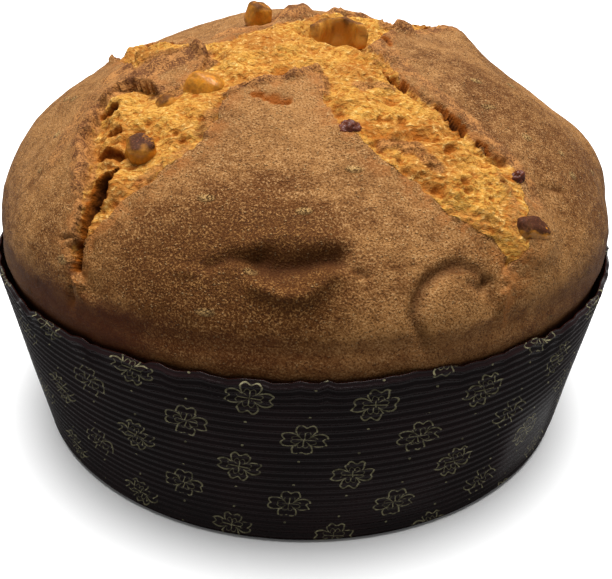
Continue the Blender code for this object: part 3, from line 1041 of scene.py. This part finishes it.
def crust_colour(recipe, place, loaf, groups):
    """Baked crust: tan grains over brown, pale flecks, a darker tone lower down that is partly painted
    shade, and painted shade where the crust meets the paper.
    """
    grain = recipe.group(groups["grain"], Vector=place, Broad=24.0, Fine=1800.0)
    fine = grain["Fine Tone"]
    height = recipe.node("SeparateXYZ", {0: place}).outputs[2]
    # The baked mask carries baking tone, painted shade on the lower front and in the dent, and painted
    # light on the upper front.
    baked = recipe.attribute("baked")
    # Darker, with more saturated grains, lower down and where the baked mask is high: partly the crust's
    # own tone, partly painted shade.
    low = recipe.times(recipe.range(height, 0.121, 0.090), 0.035)
    darker = recipe.plus(low, recipe.times(baked, 0.20))
    patches = recipe.noise(recipe.stretch(place, (0.7, 1.0, 1.6)), 300.0, 4.0, 0.65)
    tone = recipe.minus(grain["Tone"], darker)
    tone = recipe.plus(tone, recipe.times(recipe.minus(patches, 0.5), 0.45))
    light = recipe.mix(
        recipe.times(darker, 4.0, clamp=True), (0.52, 0.30, 0.130), (0.37, 0.180, 0.052))
    grains = recipe.times(
        recipe.range(fine, 0.50, 0.66), recipe.range(patches, 0.36, 0.60, 0.30, 0.85))
    blotch = recipe.noise(recipe.stretch(place, (0.7, 1.0, 1.3)), 130.0, 3.0, 0.6)
    specks = recipe.group(
        groups["speckle"], Vector=recipe.stretch(place, (1.0, 1.0, 1.4)), Scale=850.0,
        Share=0.26, Size=0.40)["Mask"]
    flecks = recipe.group(
        groups["speckle"], Vector=recipe.stretch(place, (0.6, 1.0, 1.5)), Scale=125.0,
        Share=0.17, Size=0.34)["Mask"]
    flecks = recipe.times(flecks, recipe.range(fine, 0.36, 0.54))
    colour = recipe.layers(
        recipe.mix(recipe.range(tone, 0.30, 0.62), loaf.crust_dark, loaf.crust_light),
        # Painted shade: deep brown where the baked mask is strongest, in the dent and on the lower
        # front.
        (recipe.range(baked, 0.25, 1.0), 0.65, (0.070, 0.023, 0.004)),
        (grains, 1.0, light),
        (recipe.range(fine, 0.48, 0.36), 0.70, (0.034, 0.010, 0.002)),
        (recipe.range(blotch, 0.48, 0.32), 0.18, (0.070, 0.025, 0.006)),
        (specks, 0.55, (0.58, 0.36, 0.16)),
        (flecks, 0.75, (0.58, 0.37, 0.14)),
        # Stain of the crust and painted shade just above the paper's rim.
        (recipe.attribute("rim_stain_and_shade"), 0.85, (0.062, 0.013, 0.004)),
        # Painted shade: below the paper's rim the crust is painted nearly black.
        (recipe.range(height, 0.0680, 0.0625), 1.0, (0.035, 0.009, 0.004)),
    )
    return colour, grain, specks, flecks


def crumb_colour(recipe, place, loaf):
    """Open crumb: egg yellow with fine threads and tiny cells, orange in the pits."""
    drawn = recipe.stretch(place, (0.8, 1.15, 1.0))
    threads = recipe.noise(drawn, 760.0, 4.0, 0.68, 0.4)
    patches = recipe.noise(place, 70.0)
    cells = recipe.node("TexVoronoi", {"Vector": drawn, "Scale": 620.0}).outputs["Distance"]
    colour = recipe.layers(
        recipe.mix(recipe.range(patches, 0.40, 0.66), loaf.crumb, (0.42, 0.175, 0.034)),
        (recipe.range(threads, 0.50, 0.36), 0.85, loaf.crumb_deep),
        (recipe.range(cells, 0.26, 0.05), 0.6, (0.34, 0.125, 0.018)),
        (recipe.range(threads, 0.54, 0.68), 0.8, (0.80, 0.51, 0.17)),
    )
    return colour, recipe.plus(threads, recipe.times(cells, 0.5))


def loaf_material(loaf, groups):
    recipe = MaterialRecipe("Baked crust and crumb")
    place = recipe.place()
    crumb, toast, pits, hidden, edge, shaded = (
        recipe.attribute(name) for name in ("crumb", "toast", "pits", "hidden", "edge", "shaded"))
    crust, grain, specks, flecks = crust_colour(recipe, place, loaf, groups)
    # Painted shade in the dent, cracks and creases and round the blister's rim.
    crust = recipe.layers(crust, (shaded, 0.85, (0.060, 0.019, 0.005)))
    inner, threads = crumb_colour(recipe, place, loaf)
    ragged = recipe.noise(place, 230.0, 4.0, 0.65)
    uneven = recipe.times(recipe.minus(ragged, 0.5), 1.3)
    share = recipe.range(recipe.plus(crumb, uneven), 0.30, 0.70)
    toasted = recipe.range(recipe.plus(toast, recipe.times(uneven, 0.5)), 0.15, 0.80)
    rubbed = recipe.times(recipe.plus(ragged, grain["Fine Tone"]), 0.5)
    toast_tone = recipe.mix(recipe.range(rubbed, 0.44, 0.58), loaf.toast, (0.46, 0.205, 0.062))
    colour = recipe.layers(
        recipe.mix(share, crust, inner),
        (recipe.times(edge, recipe.range(ragged, 0.44, 0.60)), 0.65, (0.34, 0.120, 0.028)),
        # Painted shade in the crumb's hollows and opened bubbles.
        (pits, 0.85, loaf.crumb_deep),
        (toasted, 0.9, toast_tone),
        # Painted shade in the caves and crevices: amber first, near-black deeper in.
        (recipe.range(hidden, 0.0, 0.4), 1.0, (0.270, 0.072, 0.006)),
        (recipe.range(hidden, 0.3, 0.9), 1.0, (0.048, 0.011, 0.001)),
    )
    crust_height = recipe.plus(grain["Height"], recipe.plus(specks, recipe.times(flecks, 1.5)))
    height = recipe.mix(share, crust_height, recipe.times(threads, 1.9))
    crust_rough = recipe.range(grain["Fine Tone"], 0.3, 0.7, 0.48, 0.70)
    return recipe.finish({
        "Base Color": colour,
        "Roughness": recipe.plus(crust_rough, recipe.times(share, 0.5), clamp=True),
        "Normal": recipe.bump(height, 0.9, 0.0007),
        "Specular IOR Level": 0.07,
    })


def paper_material(paper, groups):
    recipe = MaterialRecipe("Ribbed baking paper")
    place = recipe.place()
    cell = recipe.node("UVMap", uv_map="print").outputs[0]
    across, up, _ = recipe.node("SeparateXYZ", {0: cell}).outputs
    masks = []
    for shift in (0.0, 0.5):
        x, y = (recipe.math("WRAP", recipe.plus(value, shift), 0.5, -0.5) for value in (across, up))
        flower = recipe.group(
            groups["flower"], X=recipe.times(x, FLOWER_PITCH),
            Y=recipe.times(y, FLOWER_SQUASH * PRINT_ROWS), Radius=7.0, Line=0.27)
        masks.append(flower["Mask"])
    worn = recipe.range(recipe.noise(place, 650.0, 2.0), 0.36, 0.56)
    printed = recipe.times(
        recipe.math("MAXIMUM", *masks), recipe.plus(0.35, recipe.times(worn, 0.65)))
    inside = recipe.attribute("inside")
    stain = recipe.range(recipe.noise(place, 40.0), 0.35, 0.7)
    colour = recipe.layers(
        recipe.mix(stain, paper.colour, tuple(1.7 * value for value in paper.colour)),
        (printed, recipe.minus(1.0, inside), paper.print_colour),
        (inside, 1.0, paper.inside),
    )
    fibres = recipe.noise(recipe.stretch(place, (1.0, 1.0, 3.0)), 900.0)
    return recipe.finish({
        "Base Color": colour,
        "Roughness": recipe.range(fibres, 0.3, 0.7, 0.22, 0.32),
        "Normal": recipe.bump(fibres, 0.25, 0.0002),
        "Specular IOR Level": 0.21,
    })


def peel_material(fruit, groups):
    recipe = MaterialRecipe("Candied orange peel")
    grain = recipe.group(groups["grain"], Vector=recipe.place(), Broad=140.0, Fine=1500.0)
    tone = grain["Tone"]
    dull = tuple(0.45 * value for value in fruit.amber)
    browned = recipe.times(recipe.attribute("browned"), recipe.range(tone, 0.26, 0.50))
    sugared = recipe.mix(
        recipe.range(grain["Fine Tone"], 0.52, 0.70), fruit.browned, (0.13, 0.042, 0.016))
    crumbs = recipe.times(recipe.attribute("crumbed"), recipe.range(tone, 0.28, 0.50))
    colour = recipe.layers(
        recipe.mix(recipe.range(tone, 0.35, 0.65), fruit.amber, dull),
        (browned, 0.92, sugared),
        (crumbs, 0.9, (0.56, 0.245, 0.036)),
    )
    return recipe.finish({
        "Base Color": colour,
        "Roughness": recipe.range(browned, 0.0, 0.6, 0.24, 0.72),
        "Coat Weight": recipe.range(browned, 0.0, 0.5, 0.3, 0.0),
        "Normal": recipe.bump(grain["Height"], 0.35, 0.0004),
        "Specular IOR Level": 0.14,
        "Subsurface Weight": 0.2,
        "Subsurface Radius": (0.004, 0.0016, 0.0004),
        "Coat Roughness": 0.12,
    })


def raisin_material(fruit, groups):
    recipe = MaterialRecipe("Raisin skin")
    grain = recipe.group(groups["grain"], Vector=recipe.place(), Broad=160.0, Fine=1300.0)
    worn = tuple(1.8 * value for value in fruit.raisin)
    return recipe.finish({
        "Base Color": recipe.mix(recipe.range(grain["Tone"], 0.35, 0.65), fruit.raisin, worn),
        "Roughness": recipe.range(grain["Fine Tone"], 0.3, 0.7, 0.28, 0.5),
        "Normal": recipe.bump(grain["Height"], 0.5, 0.0004),
        "Specular IOR Level": 0.25,
    })


def floor_material():
    """A table that the camera sees as white and that throws less light up at the loaf."""
    recipe = MaterialRecipe("Pale table")
    tone = recipe.range(recipe.noise(recipe.place(), 3.0, 2.0), 0.3, 0.7)
    seen = recipe.node("LightPath").outputs["Is Camera Ray"]
    colour = recipe.mix(tone, (0.95, 0.95, 0.95), (0.97, 0.97, 0.97))
    return recipe.finish({
        "Base Color": recipe.mix(seen, (0.30, 0.30, 0.30), colour),
        "Roughness": 0.9,
        "Specular IOR Level": 0.1,
    })


GROUPS = {}


def shared_groups():
    """The node groups, made once and used by every material."""
    if not GROUPS:
        GROUPS.update(grain=grain_group(), speckle=speckle_group(), flower=flower_group())
    return GROUPS


# ---------------------------------------------------------------- operators

class PANETTONE_OT_loaf(bpy.types.Operator):
    """Build the baked loaf with its torn top"""
    bl_idname = "panettone.loaf"
    bl_label = "Loaf"

    def execute(self, context):
        loaf = context.scene.panettone_loaf
        bm = crown_bmesh(loaf)
        refine_torn_top(bm)
        piece = object_from(bm, "panettone_loaf")
        sculpt_loaf(piece.data, loaf)
        piece.data.materials.append(loaf_material(loaf, shared_groups()))
        hand_over(piece, "crust", "loaf")
        return {"FINISHED"}


class PANETTONE_OT_paper(bpy.types.Operator):
    """Build the ribbed paper wall and the disc under the loaf"""
    bl_idname = "panettone.paper"
    bl_label = "Paper mould"

    def execute(self, context):
        paper = context.scene.panettone_paper
        material = paper_material(paper, shared_groups())
        wall = make_wall(paper)
        crumple_wall(wall.data)
        map_print(wall.data, paper)
        disc = make_base()
        for piece, node in ((wall, "paper_wall"), (disc, "paper_base")):
            piece.data.materials.append(material)
            hand_over(piece, "paper", node)
        return {"FINISHED"}


class PANETTONE_OT_fruit(bpy.types.Operator):
    """Build the candied peel and the raisins that show in the torn top"""
    bl_idname = "panettone.fruit"
    bl_label = "Fruit"

    def execute(self, context):
        fruit = context.scene.panettone_fruit
        peel = peel_material(fruit, shared_groups())
        skin = raisin_material(fruit, shared_groups())
        for number, name in enumerate(PEEL_NODES):
            piece = fruit_from_node(name, 5, 3, 0.4, 200 + 10 * number)
            if name == "candied_orange_5":
                hood_curl(piece)
            piece.data.materials.append(peel)
            hand_over(piece, "candied_peel", name)
        for number, name in enumerate(RAISIN_NODES):
            piece = fruit_from_node(name, 3, 1, 0.35, 300 + 10 * number)
            wrinkle_raisin(piece, 400 + number)
            piece.data.materials.append(skin)
            hand_over(piece, "raisin", name)
        return {"FINISHED"}


class PANETTONE_OT_stage(bpy.types.Operator):
    """Set the pale table, the soft light and the camera"""
    bl_idname = "panettone.stage"
    bl_label = "Stage"

    def execute(self, context):
        stage = context.scene.panettone_stage
        make_floor(stage)
        make_lights(stage)
        make_camera(stage)
        return {"FINISHED"}


KEY_PLACE = Vector((0.05, 0.25, 2.4))
KEY_AIM = Vector((0.0, 0.0, 0.06))
KEY_SIZE = 2.2
CAMERA_PLACE = (0.0011, -0.275, 0.1836)
# The camera looks down by this many degrees, and leans by this many
CAMERA_PITCH = 28.69
CAMERA_ROLL = 0.97
SENSOR_WIDTH = 36.0


def make_floor(stage):
    bm = bmesh.new()
    bmesh.ops.create_grid(bm, x_segments=1, y_segments=1, size=0.5 * stage.floor_size)
    floor = object_from(bm, "table_top")
    floor.data.materials.append(floor_material())


def make_lights(stage):
    """One large soft light overhead, and an even room that the camera sees as white."""
    light = bpy.data.lights.new("overhead", "AREA")
    light.shape = "DISK"
    light.size = KEY_SIZE
    light.energy = stage.key_power
    lamp = add_object("overhead", light)
    lamp.location = KEY_PLACE
    lamp.rotation_euler = (KEY_AIM - KEY_PLACE).to_track_quat("-Z", "Y").to_euler()
    world = bpy.data.worlds.new("Soft room")
    world.use_nodes = True
    recipe = Recipe(world.node_tree)
    background = world.node_tree.nodes["Background"]
    background.inputs["Color"].default_value = (1.0, 1.0, 1.0, 1.0)
    seen = recipe.node("LightPath").outputs["Is Camera Ray"]
    recipe.put(background.inputs["Strength"], recipe.range(seen, 0.0, 1.0, stage.room_light, 1.0))
    bpy.context.scene.world = world


def make_camera(stage):
    lens = bpy.data.cameras.new("front_camera")
    lens.lens = stage.focal_length
    lens.sensor_width = SENSOR_WIDTH
    camera = add_object("front_camera", lens)
    pitch, roll = np.radians(CAMERA_PITCH), np.radians(CAMERA_ROLL)
    look = Matrix.Rotation(0.5 * np.pi - pitch, 4, "X") @ Matrix.Rotation(roll, 4, "Z")
    camera.matrix_world = Matrix.Translation(CAMERA_PLACE) @ look
    bpy.context.scene.camera = camera
    bpy.context.scene.view_settings.view_transform = "Standard"


class PANETTONE_PT_panel(bpy.types.Panel):
    """Buttons and settings for the panettone"""
    bl_label = "Panettone"
    bl_idname = "PANETTONE_PT_panel"
    bl_space_type = "VIEW_3D"
    bl_region_type = "UI"
    bl_category = "Panettone"

    def draw(self, context):
        for operator, name, _ in PARTS:
            box = self.layout.box()
            box.operator(operator.bl_idname)
            group = getattr(context.scene, name)
            for name in type(group).__annotations__:
                box.prop(group, name)


PARTS = (
    (PANETTONE_OT_loaf, "panettone_loaf", LoafSettings),
    (PANETTONE_OT_paper, "panettone_paper", PaperSettings),
    (PANETTONE_OT_fruit, "panettone_fruit", FruitSettings),
    (PANETTONE_OT_stage, "panettone_stage", StageSettings),
)


def register():
    for operator, name, settings in PARTS:
        bpy.utils.register_class(settings)
        bpy.utils.register_class(operator)
        setattr(bpy.types.Scene, name, bpy.props.PointerProperty(type=settings))
    bpy.utils.register_class(PANETTONE_PT_panel)


def unregister():
    bpy.utils.unregister_class(PANETTONE_PT_panel)
    for operator, name, settings in reversed(PARTS):
        delattr(bpy.types.Scene, name)
        bpy.utils.unregister_class(operator)
        bpy.utils.unregister_class(settings)


def main():
    register()
    bpy.ops.panettone.stage()
    bpy.ops.panettone.loaf()
    bpy.ops.panettone.paper()
    bpy.ops.panettone.fruit()


if __name__ == "__main__":
    main()
